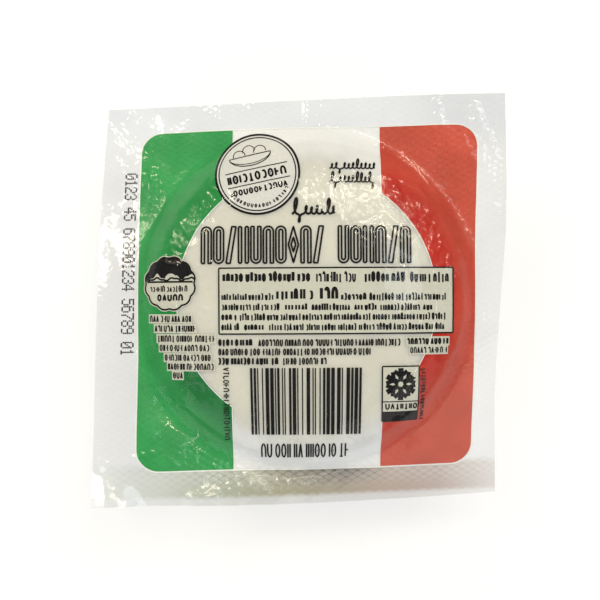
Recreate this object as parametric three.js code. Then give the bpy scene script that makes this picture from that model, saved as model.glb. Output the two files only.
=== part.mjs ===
// A sealed clear film pack that holds one flattened ball of fresh mozzarella.
// A printed front film is drawn tight over the cheese, and a deeper formed film backs it.
// Both films are sealed together in a thin square flange all round, which twists a little.
//
// Millimetres, +Z up. The pack lies on the flat spot of its formed back, label side up.
// The origin is on that flat spot's plane, under the middle of the pack's box.
// +X points to the label's right edge and +Y to its top edge.
import * as THREE from "three";

const { degToRad, lerp, smoothstep } = THREE.MathUtils;

// The flange, cut square through both films.
const PACK_WIDTH = 116;
const PACK_LENGTH = 115.4;
const SEAL_HEIGHT = 33; // middle of the flange above the surface that the pack lies on
const SEAL_THICKNESS = 0.5; // both films and their pressed pattern

// The cheese, whose outline in the pack is a full, flattened ball.
const CHEESE_X = 1.8;
const CHEESE_Y = 0.3;
const CHEESE_RADIUS = 46;
const CHEESE_FULLNESS = 2.5; // 2 would be an ellipse, and more is fuller at the shoulder
const OVAL_SHARE = 0.01; // the ball is a little oval, and a little three-sided
const OVAL_DIRECTION = 0.8;
const THREE_SIDED_SHARE = 0.006;
const THREE_SIDED_DIRECTION = 2.1;

// Each film follows the cheese down to a slope, and from there sweeps out into the flange.
const FRONT = { reach: 11, leavingSlope: degToRad(45) };
const BACK = { reach: 33.85, leavingSlope: degToRad(72) };
const SWEEP_END = 50.5; // radius at which both films have reached the flange

// How far the flange departs from a plane.
const CORNER_TWIST = 11; // two opposite corners stand this high, and the other two as low
const TWIST_START = 38;
const TWIST_FULL = 62;
const CORNER_DROOP = 2.5; // all four corners hang by this
const DROOP_START = 50;
const DROOP_FULL = 82;
const WAVE_HEIGHT = 0.5; // slack waves along the cut edge
const WAVES_ROUND = 7;
const WAVE_PHASE = 0.8;
const CURL_HEIGHT = 3; // the low left corner turns up
const CURL_START = 68;
const CURL_FULL = 84;

// The mesh of each film: rings round the cheese's axis, and rays through every corner.
const RAYS_PER_SIDE = 18;
const CHEESE_RINGS = 9;
const SWEEP_RINGS = 5;
const FLANGE_RINGS = 7;

const HALF_WIDTH = PACK_WIDTH / 2;
const HALF_LENGTH = PACK_LENGTH / 2;
const EDGE_HALF_THICKNESS = SEAL_THICKNESS / 2;

// How much wider or narrower the ball is in a direction than its mean radius.
function unevenness(angle) {
  const oval = OVAL_SHARE * Math.cos(2 * (angle - OVAL_DIRECTION));
  const threeSided = THREE_SIDED_SHARE * Math.cos(3 * (angle - THREE_SIDED_DIRECTION));
  return 1 + oval + threeSided;
}

// How far each cut edge lies inside the pack's box, at t from -1 to 1 along the edge.
const edgeInset = {
  left: (t) => 0.75 * t ** 2 + 0.3 * t ** 3,
  right: (t) => 0.73 * (1 - Math.sin((Math.PI * (t - 0.03)) / 0.8)),
  top: (t) => 0.43 * (1 - Math.sin((Math.PI * (t - 0.05)) / 1.5)),
  bottom: (t) => 0.9 * t ** 2 + 0.2 * t ** 3,
};

function fromCheeseAxis(x, y) {
  return Math.hypot(x - CHEESE_X, y - CHEESE_Y);
}

// The corner that curls is measured along the pack's diagonal.
function cornerCurl(x, y) {
  const towardsCorner = (-x - y) / Math.SQRT2;
  return CURL_HEIGHT * smoothstep(towardsCorner, CURL_START, CURL_FULL);
}

// Height of the flange's middle surface at a plan point.
function sealHeight(x, y) {
  const radius = fromCheeseAxis(x, y);
  const cornerShare = (x * y) / (HALF_WIDTH * HALF_LENGTH);
  const twist = CORNER_TWIST * cornerShare * smoothstep(radius, TWIST_START, TWIST_FULL);
  const slack = smoothstep(radius, DROOP_START, DROOP_FULL);
  const wave = WAVE_HEIGHT * Math.sin(WAVES_ROUND * Math.atan2(y, x) + WAVE_PHASE);
  return SEAL_HEIGHT + twist + slack * (wave - CORNER_DROOP) + cornerCurl(x, y);
}

// The cheese's outline as an angle runs from its pole, 0, to its widest point, 90 degrees.
function cheeseOutline(reach, angle) {
  const power = 2 / CHEESE_FULLNESS;
  return {
    radius: CHEESE_RADIUS * Math.sin(angle) ** power,
    height: reach * Math.cos(angle) ** power,
  };
}

// The outline's slope is reach / radius times tan(angle) to this power.
const SLOPE_POWER = 2 - 2 / CHEESE_FULLNESS;

function angleOfSlope(reach, slope) {
  const tangent = (Math.tan(slope) * CHEESE_RADIUS) / reach;
  return Math.atan(tangent ** (1 / SLOPE_POWER));
}

// One film's profile: points of radius and stand-off from the flange's middle surface.
function filmProfile({ reach, leavingSlope }) {
  const lastAngle = angleOfSlope(reach, leavingSlope);
  const onCheese = Array.from({ length: CHEESE_RINGS }, (_, i) => {
    const { radius, height } = cheeseOutline(reach, (lastAngle * (i + 1)) / CHEESE_RINGS);
    return new THREE.Vector2(radius, height);
  });
  const leaving = onCheese.at(-1);
  const meetsFlange = leaving.x + leaving.y / Math.tan(leavingSlope);
  const sweep = new THREE.QuadraticBezierCurve(
    leaving,
    new THREE.Vector2(meetsFlange, 0),
    new THREE.Vector2(SWEEP_END, 0),
  );
  return [...onCheese, ...sweep.getPoints(SWEEP_RINGS).slice(1)];
}

// The cut outline where a ray from the cheese's axis meets it.
function outlinePoint(direction) {
  const toSideX = (Math.sign(direction.x) * HALF_WIDTH - CHEESE_X) / direction.x;
  const toSideY = (Math.sign(direction.y) * HALF_LENGTH - CHEESE_Y) / direction.y;
  const reach = Math.min(toSideX, toSideY);
  const x = CHEESE_X + reach * direction.x;
  const y = CHEESE_Y + reach * direction.y;
  const insetX = x < 0 ? edgeInset.left : edgeInset.right;
  const insetY = y < 0 ? edgeInset.bottom : edgeInset.top;
  const narrowing = 1 - insetX(y / HALF_LENGTH) / HALF_WIDTH;
  const shortening = 1 - insetY(x / HALF_WIDTH) / HALF_LENGTH;
  return new THREE.Vector2(x * narrowing, y * shortening);
}

// Directions from the cheese's axis, even between the pack's corners and one at each corner.
function rayDirections() {
  const corners = [
    [HALF_WIDTH, -HALF_LENGTH],
    [HALF_WIDTH, HALF_LENGTH],
    [-HALF_WIDTH, HALF_LENGTH],
    [-HALF_WIDTH, -HALF_LENGTH],
  ];
  const angles = corners.map(([x, y]) => Math.atan2(y - CHEESE_Y, x - CHEESE_X));
  return angles.flatMap((start, side) => {
    const next = angles[(side + 1) % angles.length];
    const end = next < start ? next + 2 * Math.PI : next;
    return Array.from({ length: RAYS_PER_SIDE }, (_, i) => {
      const angle = lerp(start, end, i / RAYS_PER_SIDE);
      return new THREE.Vector2(Math.cos(angle), Math.sin(angle));
    });
  });
}

// One film as a pole and rings of points, outwards to the cut edge.
// side is 1 for the front film and -1 for the back one, which is flat where it would pass z = 0.
function filmRings(film, side, rays) {
  const place = (x, y, standOff) => {
    const height = sealHeight(x, y) + side * (EDGE_HALF_THICKNESS + standOff);
    return new THREE.Vector3(x, y, Math.max(height, 0));
  };
  const fromAxis = (ray, radius) => {
    const uneven = radius * unevenness(ray.angle());
    return new THREE.Vector2(CHEESE_X + uneven * ray.x, CHEESE_Y + uneven * ray.y);
  };
  const formed = filmProfile(film).map((point) =>
    rays.map((ray) => {
      const { x, y } = fromAxis(ray, point.x);
      return place(x, y, point.y);
    }),
  );
  const flange = Array.from({ length: FLANGE_RINGS }, (_, i) =>
    rays.map((ray) => {
      const share = (i + 1) / FLANGE_RINGS;
      const { x, y } = fromAxis(ray, SWEEP_END).lerp(outlinePoint(ray), share);
      return place(x, y, 0);
    }),
  );
  return { pole: place(CHEESE_X, CHEESE_Y, film.reach), rings: [...formed, ...flange] };
}

// Adds one film's points to the mesh, and its faces looking out on its own side.
function addFilm(mesh, { pole, rings }, facesUp) {
  const first = mesh.points.length;
  const count = rings[0].length;
  mesh.points.push(pole, ...rings.flat());
  const at = (ring, ray) => first + 1 + ring * count + (ray % count);
  const face = (a, b, c) => mesh.faces.push(...(facesUp ? [a, b, c] : [a, c, b]));
  for (let ray = 0; ray < count; ray += 1) {
    face(first, at(0, ray), at(0, ray + 1));
    for (let ring = 0; ring + 1 < rings.length; ring += 1) {
      face(at(ring, ray), at(ring + 1, ray), at(ring + 1, ray + 1));
      face(at(ring, ray), at(ring + 1, ray + 1), at(ring, ray + 1));
    }
  }
  return Array.from({ length: count }, (_, ray) => at(rings.length - 1, ray));
}

// The narrow cut edge between the two films' last rings.
function addCutEdge(mesh, upper, lower) {
  upper.forEach((_, ray) => {
    const next = (ray + 1) % upper.length;
    mesh.faces.push(upper[ray], lower[ray], lower[next]);
    mesh.faces.push(upper[ray], lower[next], upper[next]);
  });
}

function packGeometry() {
  const mesh = { points: [], faces: [] };
  const rays = rayDirections();
  const upperEdge = addFilm(mesh, filmRings(FRONT, 1, rays), true);
  const lowerEdge = addFilm(mesh, filmRings(BACK, -1, rays), false);
  addCutEdge(mesh, upperEdge, lowerEdge);
  const geometry = new THREE.BufferGeometry().setFromPoints(mesh.points);
  geometry.setIndex(mesh.faces);
  geometry.computeVertexNormals();
  return geometry;
}

// Milk-white cheese seen through glossy clear film.
function packMaterial() {
  return new THREE.MeshStandardMaterial({ color: 0xe5e2d2, roughness: 0.25, metalness: 0 });
}

const pack = new THREE.Mesh(packGeometry(), packMaterial());
pack.name = "mozzarella_pack";

const part = new THREE.Group();
part.add(pack);

export default part;
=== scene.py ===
"""A vacuum-packed ball of fresh mozzarella: the films, the print and the cheese round the CAD pack.

Plan coordinates are the CAD frame's X and Y in millimetres, with the print's top edge towards +Y.
Every printed shape is drawn in plan and then draped just under the front film.
"""

import math
import random

import bpy
import numpy as np
from mathutils import Euler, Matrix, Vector


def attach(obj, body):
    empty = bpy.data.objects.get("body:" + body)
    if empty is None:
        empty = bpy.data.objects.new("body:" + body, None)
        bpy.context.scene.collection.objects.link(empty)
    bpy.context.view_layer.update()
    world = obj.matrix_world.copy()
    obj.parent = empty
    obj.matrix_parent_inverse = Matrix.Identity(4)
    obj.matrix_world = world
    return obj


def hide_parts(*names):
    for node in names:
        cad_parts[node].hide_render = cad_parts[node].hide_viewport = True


MM = 0.001
NODE = "mozzarella_pack"

# The CAD pack's driving dimensions in millimetres. A span is where a change starts and is full.
PACK_WIDTH = 116
PACK_LENGTH = 115.4
SEAL_HEIGHT = 33
CHEESE_X = 1.8
CHEESE_Y = 0.3
CHEESE_RADIUS = 46
CHEESE_FULLNESS = 2.5
OVAL_SHARE = 0.01
OVAL_DIRECTION = 0.8
THREE_SIDED_SHARE = 0.006
THREE_SIDED_DIRECTION = 2.1
FRONT_REACH = 11
FRONT_SLOPE = math.radians(45)
BACK_REACH = 33.85
BACK_SLOPE = math.radians(72)
SWEEP_END = 50.5
CORNER_TWIST = 11
TWIST_SPAN = (38, 62)
CORNER_DROOP = 2.5
DROOP_SPAN = (50, 82)
WAVE_HEIGHT = 0.5
WAVES_ROUND = 7
WAVE_PHASE = 0.8
CURL_HEIGHT = 3
CURL_SPAN = (68, 84)

HALF_WIDTH = PACK_WIDTH / 2
HALF_LENGTH = PACK_LENGTH / 2

# The two films, their pressed diamond pattern and where each layer lies.
FRONT_CELLS = 314
BACK_CELLS = 220
FILM_OFFSET = 0.17  # each film's distance from the flange's middle surface
KNURL_HEIGHT = 0.045
KNURL_PITCH_X = 3.28
KNURL_PITCH_Y = 1.9
KNURL_SPAN = (45.5, 47.5)
SEAL_STOP = 3.2  # the pattern stops this far from the bottom cut edge
SEAL_STOP_ZIGZAG = 0.8
CHEESE_GAP = 0.45
BLACK_DEPTH = 0.08
LIGHT_DEPTH = 0.13
COLOUR_DEPTH = 0.18
WHITE_DEPTH = 0.24
PRINT_CELL = 0.4  # the print's mesh follows the film in steps of this

# The print: a rounded square with two colour fields and a round window over the cheese.
LABEL_X = 1.8
LABEL_Y = 0.75
LABEL_WIDTH = 95.7
LABEL_LENGTH = 96.6
LABEL_CORNER = 6.2
LABEL_RIM = 0.35  # the white print shows this far round the colours
WINDOW_RIM = 0.2  # and this far along their inner edges
LABEL_TILT = 0.3  # degrees
FIELD_WIDTH = 27.05
FIELD_EDGE = LABEL_WIDTH / 2 - FIELD_WIDTH
WINDOW_X = 1.75
WINDOW_Y = 0.3
WINDOW_RADIUS = 36.1

# The camera looks straight down on the pack.
CAMERA_X = -0.06
CAMERA_Y = 0.27
CAMERA_DISTANCE = 300  # above the flange
PICTURE_WIDTH = 171  # what the picture takes in at the flange
SENSOR_WIDTH = 36


# ---- shapes in plan


def smoothstep(value, low, high):
    """0 at low and 1 at high, which may be the lesser of the two."""
    share = np.clip((value - low) / (high - low), 0, 1)
    return share * share * (3 - 2 * share)


def wave_field(x, y, wavelength, seed, count=12):
    """A smooth random relief of about unit height: waves of one length in many directions."""
    draw = random.Random(seed)
    total = np.zeros_like(x)
    for _ in range(count):
        direction = draw.uniform(0, 2 * math.pi)
        turns = draw.uniform(0.75, 1.3) / wavelength
        phase = draw.uniform(0, 2 * math.pi)
        along = x * math.cos(direction) + y * math.sin(direction)
        total += np.cos(2 * math.pi * turns * along + phase)
    return total / math.sqrt(count / 2)


def polar(x, y):
    """Distance and angle from the cheese's axis."""
    return np.hypot(x - CHEESE_X, y - CHEESE_Y), np.arctan2(y - CHEESE_Y, x - CHEESE_X)


def unevenness(angle):
    """How much wider or narrower the ball is in a direction than its mean radius."""
    oval = OVAL_SHARE * np.cos(2 * (angle - OVAL_DIRECTION))
    three_sided = THREE_SIDED_SHARE * np.cos(3 * (angle - THREE_SIDED_DIRECTION))
    return 1 + oval + three_sided


def even_radius(x, y):
    """Distance from the cheese's axis, as it would be if the ball were round."""
    radius, angle = polar(x, y)
    return radius / unevenness(angle)


def seal_height(x, y):
    """Height of the flange's middle surface."""
    radius, _ = polar(x, y)
    corner_share = x * y / (HALF_WIDTH * HALF_LENGTH)
    twist = CORNER_TWIST * corner_share * smoothstep(radius, *TWIST_SPAN)
    slack = smoothstep(radius, *DROOP_SPAN)
    wave = WAVE_HEIGHT * np.sin(WAVES_ROUND * np.arctan2(y, x) + WAVE_PHASE)
    curl = CURL_HEIGHT * smoothstep((-x - y) / math.sqrt(2), *CURL_SPAN)
    return SEAL_HEIGHT + twist + slack * (wave - CORNER_DROOP) + curl


def film_rise(radius, reach, slope):
    """How far a film stands off the flange: over the cheese, then sweeping out from it."""
    power = 2 / CHEESE_FULLNESS
    angle = math.atan((math.tan(slope) * CHEESE_RADIUS / reach) ** (1 / (2 - power)))
    leaves_at = CHEESE_RADIUS * math.sin(angle) ** power
    leaves_height = reach * math.cos(angle) ** power
    meets_flange = leaves_at + leaves_height / math.tan(slope)
    inside = np.clip(1 - (radius / CHEESE_RADIUS) ** CHEESE_FULLNESS, 0, 1)
    on_cheese = reach * inside ** (1 / CHEESE_FULLNESS)
    square = leaves_at - 2 * meets_flange + SWEEP_END
    linear = 2 * (meets_flange - leaves_at)
    rest = leaves_at - np.clip(radius, leaves_at, SWEEP_END)
    along = (-linear + np.sqrt(linear * linear - 4 * square * rest)) / (2 * square)
    sweep = (1 - along) ** 2 * leaves_height
    return np.where(radius <= leaves_at, on_cheese, sweep)


def outline_inset(x, y):
    """How far the cut edges lie inside the pack's box, across and along, at plan points."""
    across, along = x / HALF_WIDTH, y / HALF_LENGTH
    left = 0.75 * along**2 + 0.3 * along**3
    right = 0.73 * (1 - np.sin(math.pi * (along - 0.03) / 0.8))
    top = 0.43 * (1 - np.sin(math.pi * (across - 0.05) / 1.5))
    bottom = 0.9 * across**2 + 0.2 * across**3
    return np.where(x < 0, left, right), np.where(y < 0, bottom, top)


# ---- relief of the films


# The net is pressed less deep in the slack left flange, least at its two ends, and in the
# crumpled bottom.
LEFT_SPAN = (-22, -40)
LEFT_SLACK = 0.65
LOW_END_SPAN = (8, -8)
HIGH_END_SPAN = (26, 40)
END_SLACK = 0.2
BOTTOM_SPAN = (-42, -46)
BOTTOM_SLACK = 0.6


def seal_mask(x, y):
    """How deep the diamond net is pressed, from 0 to 1."""
    outside_cheese = smoothstep(even_radius(x, y), *KNURL_SPAN)
    zigzag = SEAL_STOP_ZIGZAG * np.abs(((x / KNURL_PITCH_X) % 1) * 2 - 1)
    stop = -HALF_LENGTH + SEAL_STOP + zigzag
    ends = smoothstep(y, *LOW_END_SPAN) + smoothstep(y, *HIGH_END_SPAN)
    left = smoothstep(x, *LEFT_SPAN) * (LEFT_SLACK + END_SLACK * ends)
    bottom = smoothstep(y, *BOTTOM_SPAN) * np.clip(1.4 * crumpled(x, y), 0, BOTTOM_SLACK)
    pressed = smoothstep(y, stop - 0.25, stop + 0.25) * (1 - np.maximum(left, bottom))
    return outside_cheese * pressed


def knurl(x, y):
    """Small pillows between the lines of a diamond net."""
    across = np.cos(2 * math.pi * x / KNURL_PITCH_X)
    along = np.cos(2 * math.pi * y / KNURL_PITCH_Y)
    return KNURL_HEIGHT * (np.abs(across + along) - 1)


# Soft straight folds in the film: two ends in plan, half width and height.
FOLDS = (
    (-58, 20, -50, 33, 1.6, 0.12), (-56, -46, -38.5, -42, 0.9, 0.34),
    (-38, -43.5, -34, -46.5, 0.4, 0.14), (-35, -55.6, -22, -55.6, 2.3, 1.05),
    (-27, -54, 8, -54, 4.4, 1.05), (-57, 55, -49, 44, 0.9, 0.28),
    (-53, 54.5, -50.5, 49, 0.8, 0.25), (-55, 44, -49, 38.5, 0.9, 0.25),
    (-52.5, 39, -47, 35.5, 0.7, 0.2), (1.4, 60, 1.2, 49, 0.6, 0.18),
    (6.6, 60, 6.4, 50.5, 0.5, 0.15), (17.5, 59, 18, 48, 0.7, 0.18),
    (37.2, 60, 39.4, 48.5, 1.2, 0.35), (44, 56, 50, 45, 1.6, 0.4),
    (47, 58, 55, 40, 1, 0.25), (44, 47.5, 50.5, 36, 1.3, 0.22),
    (51, 56, 58, 53.5, 0.9, 0.3), (50, 30, 57, 24, 1.2, 0.2),
    (42.5, 14.5, 45, 2, 0.8, 0.16), (33, 18, 43, 12.5, 0.5, 0.12),
    (-20.5, -40, -19, -45.5, 0.5, 0.14), (-13, -44, -11, -47.5, 0.6, 0.16),
)

# Broken creases, many of them round the window: half width, height, then X and Y of each point.
CREASES = (
    (3, 0.34, -62, -53, -53.5, -55, -48, -61), (0.8, 0.17, 7.6, 32.3, 8.6, 27.8, 10.3, 23.9),
    (0.8, 0.16, 9.5, 32.3, 10.3, 27.8, 10.5, 23.9, 12.5, 22, 14.7, 23.4),
    (0.8, 0.16, 14.7, 23.4, 16.4, 25.6, 18.6, 26.4, 20.8, 27.6),
    (0.7, 0.15, 20, 27, 22.5, 24.8, 23.8, 23.9, 21, 22.3, 19.1, 21.4),
    (0.6, 0.12, 10.5, 18.9, 12.7, 20, 15.5, 18.4), (0.6, 0.12, 18.2, 19.2, 19.9, 21.1, 23.2, 19.5),
    (0.6, 0.14, 24.9, 32.4, 25.9, 29.3, 27.9, 28.2, 27.4, 30.5, 26, 32.5),
    (0.6, 0.14, -28.9, 22.6, -28.2, 24.2, -26.4, 24.5, -25.4, 23, -26.3, 21.2, -28.3, 21.3),
    (0.6, 0.14, -35.2, 25, -33.4, 26.9, -30.3, 25.3),
    (0.6, 0.13, -37.2, 16.8, -33.1, 14.8, -28.4, 15.7),
    (0.5, 0.12, -37.9, 17.3, -36.6, 16.9, -36.7, 14.9, -38, 14.8),
    (0.6, 0.14, -24.8, 30.5, -23.4, 28.6),
    (0.7, 0.2, 37.4, 48.2, 38.9, 42.2, 41.3, 34.5, 44.2, 26.9),
    (0.6, 0.15, 28.7, 33.9, 32.5, 32, 35.6, 29.8),
    (0.6, 0.15, 31.9, 25, 33.6, 26.9, 35.2, 25.2, 34, 23.2), (0.6, 0.15, 39, 10.6, 41.7, 9.2),
    (0.7, 0.17, -27.5, -48, -26.5, -49.6, -27.8, -51),
    (0.7, 0.17, -24, -46.5, -23.2, -48.6, -24.4, -50.4),
    (0.7, 0.17, -19, -43.5, -18.2, -45.6, -19.4, -47.6, -18.6, -50.2),
    (0.7, 0.17, -14.8, -47, -14, -49, -15, -51),
    (0.7, 0.17, -10.6, -48, -9.8, -50, -11, -52, -10.2, -54.2),
    (0.7, 0.17, -8.4, -47.6, -7.6, -49.8, -8.6, -52), (0.7, 0.17, -1.2, -48.2, -0.7, -50.4),
)

# Crumpled places: middle, half length across and along, and how crumpled from 0 to 1.
CRUMPLES = (
    (-43.5, 31, 4.2, 7, 1), (-55, 13, 3.5, 4, 0.35), (-34, 18.5, 5, 4, 0.4),
    (-28, 24.5, 5.5, 4.5, 0.6), (-25.5, 34, 4, 4, 0.5), (-29, -54, 6.5, 2.6, 0.55),
    (-29, -40, 3.2, 3.8, 1), (-18.5, -45, 2.8, 5.5, 0.6), (-12, -50.5, 11, 6, 0.45),
    (4, -51.5, 8, 6, 0.4), (27, 25, 2.8, 3.4, 0.9), (33, 22, 5, 7, 0.75),
    (38, 36, 6, 9, 0.4), (43, 10, 2.4, 4, 0.9), (48, 33, 5, 12, 0.3),
    (4, 52, 7, 5, 0.25), (13, 25, 9, 6, 0.3), (20, 18, 6, 3.5, 0.4),
    (4, 34, 4, 4, 0.7), (32, -40, 3.5, 3.5, 0.7), (-50, 48, 8, 9, 0.3),
    (50, 48, 6, 8, 0.35),
)


def beside(x, y, x0, y0, x1, y1):
    """How far plan points lie along and beside a straight line, and the line's length."""
    run_x, run_y = x1 - x0, y1 - y0
    length = math.hypot(run_x, run_y)
    x, y = x - x0, y - y0
    return (x * run_x + y * run_y) / length, (y * run_x - x * run_y) / length, length


def folds(x, y):
    """Ridges along the folds, which wander a little and fade at both ends."""
    total = np.zeros_like(x)
    for *ends, half_width, height in FOLDS:
        along, sideways, length = beside(x, y, *ends)
        sideways = sideways + 0.3 * half_width * np.sin(along * 2.2 / half_width + ends[0])
        fade = smoothstep(along, -0.1 * length, 0.3 * length)
        fade = fade * smoothstep(along, 1.1 * length, 0.7 * length)
        total += height * fade * np.exp(-((sideways / half_width) ** 2))
    return total


def broken_creases(x, y):
    """Ridges along the crease lines, which waver a little."""
    x, y = x + 0.2 * wave_field(x, y, 3, 41), y + 0.2 * wave_field(x, y, 3, 42)
    total = np.zeros_like(x)
    for half_width, height, *line in CREASES:
        away = np.full_like(x, np.inf)
        for first in range(0, len(line) - 2, 2):
            along, sideways, length = beside(x, y, *line[first : first + 4])
            away = np.minimum(away, np.hypot(along - np.clip(along, 0, length), sideways))
        total += height * np.exp(-((away / half_width) ** 2))
    return total


def crumpled(x, y):
    """How crumpled the film is: in the places above, and in patches at the cheese's shoulder."""
    radius, _ = polar(x, y)
    shoulder = smoothstep(radius, 12, 34) * (1 - 0.8 * smoothstep(radius, 46, 53))
    total = shoulder * (0.08 + 0.3 * smoothstep(wave_field(x, y, 13, 3), 0, 1.4))
    for middle_x, middle_y, half_across, half_along, strength in CRUMPLES:
        away = ((x - middle_x) / half_across) ** 2 + ((y - middle_y) / half_along) ** 2
        total = np.maximum(total, strength * np.exp(-(away**1.5)))
    return total


def ridges(x, y, wavelength, seed, share):
    """Winding creases 1 high, along the level lines of a smooth relief."""
    return np.exp(-((wave_field(x, y, wavelength, seed) / share) ** 2))


def crinkle(x, y):
    """Slack in the film: sharp creases where it is crumpled, and soft ones off the flat top."""
    radius, _ = polar(x, y)
    creases = 0.34 * ridges(x, y, 6, 5, 0.5) + 0.16 * ridges(x, y, 4, 8, 0.5)
    fine = 0.05 * wave_field(x, y, 2.2, 15) + 0.09 * wave_field(x, y, 4.2, 17)
    soft = 0.07 * wave_field(x, y, 11, 11) * smoothstep(radius, 10, 34)
    return crumpled(x, y) * (creases + fine) + soft


def front_height(x, y):
    rise = FILM_OFFSET + film_rise(even_radius(x, y), FRONT_REACH, FRONT_SLOPE)
    relief = seal_mask(x, y) * knurl(x, y) + folds(x, y) + broken_creases(x, y) + crinkle(x, y)
    return seal_height(x, y) + rise + relief


def back_height(x, y):
    fall = FILM_OFFSET + film_rise(even_radius(x, y), BACK_REACH, BACK_SLOPE)
    on_flange = smoothstep(polar(x, y)[0], 46, 52)
    relief = seal_mask(x, y) * knurl(x, y) + on_flange * (folds(x, y) + crinkle(x, y))
    return np.maximum(seal_height(x, y) - fall + relief, 0)


# ---- mesh making


def make_object(name, points, faces, material):
    mesh = bpy.data.meshes.new(name)
    mesh.from_pydata((np.asarray(points) * MM).tolist(), [], faces)
    mesh.polygons.foreach_set("use_smooth", [True] * len(mesh.polygons))
    mesh.materials.append(material)
    mesh.validate()
    piece = bpy.data.objects.new(name, mesh)
    bpy.context.scene.collection.objects.link(piece)
    return piece


CRUMPLED = "crumpled"  # the films' point attribute that their material reads


def grid_faces(rows, columns):
    """Quads of a grid whose points run along each row in turn."""
    row, column = np.meshgrid(np.arange(rows - 1), np.arange(columns - 1), indexing="ij")
    first = (row * columns + column).ravel()
    return np.stack([first, first + 1, first + columns + 1, first + columns], 1)


def make_film(name, cells, height, facing_up, material):
    """A film over the whole pack, out to the cut edges."""
    steps = np.linspace(-1, 1, cells + 1)
    x, y = np.meshgrid(steps * HALF_WIDTH, steps * HALF_LENGTH)
    inset_x, inset_y = outline_inset(x, y)
    x, y = x * (1 - inset_x / HALF_WIDTH), y * (1 - inset_y / HALF_LENGTH)
    points = np.stack([x.ravel(), y.ravel(), height(x, y).ravel()], 1)
    faces = grid_faces(cells + 1, cells + 1)
    film = make_object(name, points, (faces if facing_up else faces[:, ::-1]).tolist(), material)
    attribute = film.data.attributes.new(CRUMPLED, "FLOAT", "POINT")
    attribute.data.foreach_set("value", crumpled(x, y).ravel())
    return film


CHEESE_RAYS = 180
CHEESE_ROWS = 110


def make_cheese(material):
    """The ball: full at the shoulder, flat where it lies, and dimpled a little all over."""
    turn = np.linspace(0, 2 * math.pi, CHEESE_RAYS, endpoint=False)
    tilt = np.linspace(0, math.pi, CHEESE_ROWS + 1)[1:-1]
    turn, tilt = np.meshgrid(turn, tilt)
    power = 2 / CHEESE_FULLNESS
    radius = (CHEESE_RADIUS - CHEESE_GAP) * np.sin(tilt) ** power * unevenness(turn)
    x, y = CHEESE_X + radius * np.cos(turn), CHEESE_Y + radius * np.sin(turn)
    reach = np.where(tilt < math.pi / 2, FRONT_REACH, BACK_REACH) - CHEESE_GAP
    lift = np.sign(np.cos(tilt)) * np.abs(np.cos(tilt)) ** power
    dimples = 0.12 * (wave_field(x, y, 14, 21) - 2) + 0.05 * (wave_field(x, y, 5, 22) - 2)
    z = np.maximum(SEAL_HEIGHT + lift * (reach + dimples), CHEESE_GAP / 2)
    points = np.stack([x.ravel(), y.ravel(), z.ravel()], 1)
    poles = [(CHEESE_X, CHEESE_Y, height) for height in (z[0].mean(), CHEESE_GAP / 2)]
    rows, rays = x.shape
    top, last = rows * rays, (rows - 1) * rays
    rim = [(ray, (ray + 1) % rays) for ray in range(rays)]
    faces = [
        (row + ray, row + rays + ray, row + rays + after, row + after)
        for row in range(0, last, rays)
        for ray, after in rim
    ]
    for ray, after in rim:
        faces += [(top, ray, after), (top + 1, last + after, last + ray)]
    return make_object("cheese_ball", np.vstack([points, poles]), faces, material)


def curve(x, y):
    """Plan points along a curve, of which one coordinate may be a plain number."""
    return np.stack(np.broadcast_arrays(x, y), 1)


def cells_in(length):
    return max(1, math.ceil(length / PRINT_CELL))


class Print:
    """Flat shapes of one ink, drawn in plan and draped under the front film as one piece."""

    def __init__(self, name, depth, material):
        self.name, self.depth, self.material = name, depth, material
        self.points, self.faces = [], []
        self.turn_about(0, 0, 0)

    def turn_about(self, x, y, degrees):
        """What is drawn from here on is turned by this about a plan point."""
        self.turning = x, y, degrees

    def patch(self, one_edge, other_edge, across=1):
        """Fills between two curves of equally many plan points, or one and a point."""
        one, other = np.broadcast_arrays(one_edge, other_edge)
        shares = np.linspace(0, 1, across + 1)[:, None, None]
        points = (one[None] * (1 - shares) + other[None] * shares).reshape(-1, 2)
        first = sum(map(len, self.points))
        self.points.append(turned(points, *self.turning))
        self.faces.append(grid_faces(across + 1, len(one)) + first)

    def bar(self, x0, y0, x1, y1):
        """A filled rectangle."""
        x = np.linspace(x0, x1, cells_in(x1 - x0) + 1)
        self.patch(curve(x, y0), curve(x, y1), cells_in(y1 - y0))

    def frame(self, x0, y0, x1, y1, width):
        """A rectangle's four sides as pen lines."""
        corners = [(x0, y0), (x1, y0), (x1, y1), (x0, y1), (x0, y0)]
        for side in zip(corners, corners[1:]):
            self.stroke(side, width)

    def disc(self, x, y, radius, inner=0):
        """A filled circle or ring."""
        angle = np.linspace(0, 2 * math.pi, max(12, cells_in(2 * math.pi * radius)) + 1)
        rim = curve(np.cos(angle), np.sin(angle))
        self.patch((x, y) + rim * inner, (x, y) + rim * radius, cells_in(radius - inner))

    def stroke(self, points, width):
        """A pen line of even width through plan points."""
        points = resample(np.asarray(points, float), PRINT_CELL)
        tangent = np.gradient(points, axis=0)
        tangent /= np.maximum(np.hypot(*tangent.T), 1e-9)[:, None]
        side = curve(-tangent[:, 1], tangent[:, 0]) * width / 2
        self.patch(points - side, points + side)

    def drape(self):
        """The piece, which lies a little turned on the pack."""
        plan = turned(np.vstack(self.points), LABEL_X, LABEL_Y, LABEL_TILT)
        height = front_height(*plan.T) - self.depth
        faces = upward(plan, np.vstack(self.faces))
        points = np.column_stack([plan, height])
        return make_object(self.name, points, faces.tolist(), self.material)


def turned(points, x, y, degrees):
    """Plan points turned about another."""
    cosine, sine = math.cos(math.radians(degrees)), math.sin(math.radians(degrees))
    return (x, y) + (points - (x, y)) @ np.array([[cosine, sine], [-sine, cosine]])


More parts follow.
